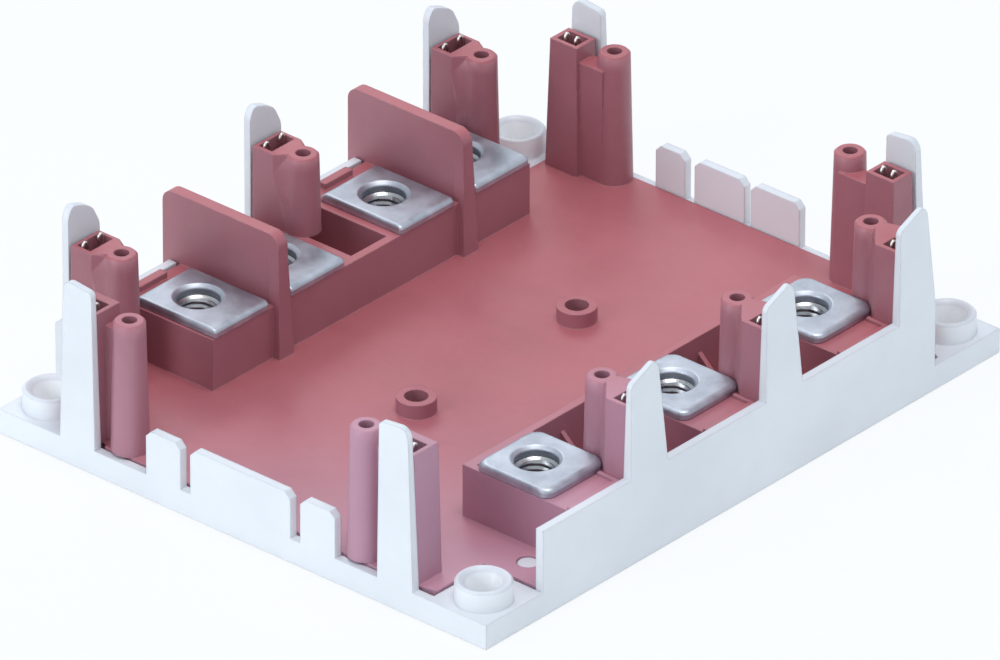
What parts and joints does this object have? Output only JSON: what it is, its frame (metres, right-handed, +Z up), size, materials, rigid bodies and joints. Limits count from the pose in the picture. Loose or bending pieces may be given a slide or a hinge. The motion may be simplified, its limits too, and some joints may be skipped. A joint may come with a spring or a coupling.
{
  "type": "igbt module",
  "caption": "Flat three-phase power module without a base plate: white frame, red-brown pressure plate with signal towers, flat screw terminals and ceramic tiles.",
  "frame": {"origin": "middle of the four corner screw holes, on the underside that meets the heatsink", "axes": "+X along the row of three output terminals, +Y from the output side to the supply side, +Z up, away from the heatsink"},
  "size_m": [0.1146, 0.096, 0.032],
  "materials": {
    "frame": "moulded, slightly glossy",
    "plate": "moulded, glass-filled, satin",
    "terminal": "tin-plated",
    "steel": "zinc-plated",
    "spring": "silver-plated",
    "copper": "bare",
    "ceramic": "fired, dull",
    "chip": "metallised",
    "foam": "closed-cell foam",
    "film": "clear film"
  },
  "bodies": {
    "root": {"housing_frame": "frame", "pressure_plate": "plate", "output_bar_u": "terminal", "output_bar_v": "terminal", "output_bar_w": "terminal", "supply_bar_minus": "terminal", "supply_bar_plus": "terminal", "insulation_sheet": "film", "terminal_nuts": "steel", "base_copper_u": "copper", "ceramic_tile_u": "ceramic", "circuit_copper_u": "copper", "switch_chips_u": "chip", "diode_chips_u": "chip", "pressure_pad_u": "foam", "base_copper_v": "copper", "ceramic_tile_v": "ceramic", "circuit_copper_v": "copper", "switch_chips_v": "chip", "diode_chips_v": "chip", "pressure_pad_v": "foam", "base_copper_w": "copper", "ceramic_tile_w": "ceramic", "circuit_copper_w": "copper", "switch_chips_w": "chip", "diode_chips_w": "chip", "pressure_pad_w": "foam", "temperature_sensor": "chip", "contact_springs_front_u": "spring", "contact_springs_front_v": "spring", "contact_springs_front_w": "spring", "contact_springs_rear_u": "spring", "contact_springs_rear_v": "spring", "contact_springs_rear_w": "spring", "contact_springs_near_left": "spring", "contact_springs_far_left": "spring", "contact_springs_near_right": "spring", "contact_springs_far_right": "spring"}
  },
  "joints": []
}
